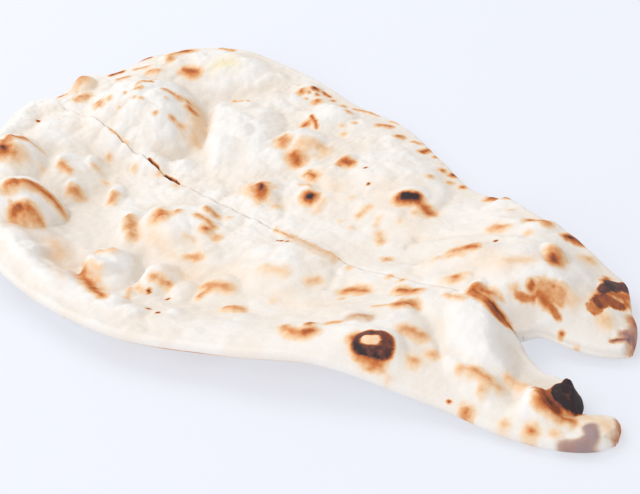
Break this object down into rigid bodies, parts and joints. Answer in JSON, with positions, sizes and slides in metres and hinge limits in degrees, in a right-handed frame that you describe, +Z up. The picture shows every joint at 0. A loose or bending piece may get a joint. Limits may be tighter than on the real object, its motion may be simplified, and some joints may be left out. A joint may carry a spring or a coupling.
{
  "type": "naan bread",
  "caption": "Leaf-shaped flatbread with blisters and scorch marks, cut lengthwise so that its tail forks, and draped to a shallow dish form.",
  "frame": {"origin": "middle of the footprint, on the level that the bread lies on", "axes": "+X along the knife cut from the round end to the forked tail, +Y towards the far half, +Z up from the surface that the bread lies on"},
  "size_m": [0.3564, 0.1896, 0.0314],
  "materials": {
    "crust": "dry floury baked dough, cream white with brown and black scorch marks"
  },
  "bodies": {
    "root": {"far_half": "crust", "near_half": "crust"}
  },
  "joints": []
}
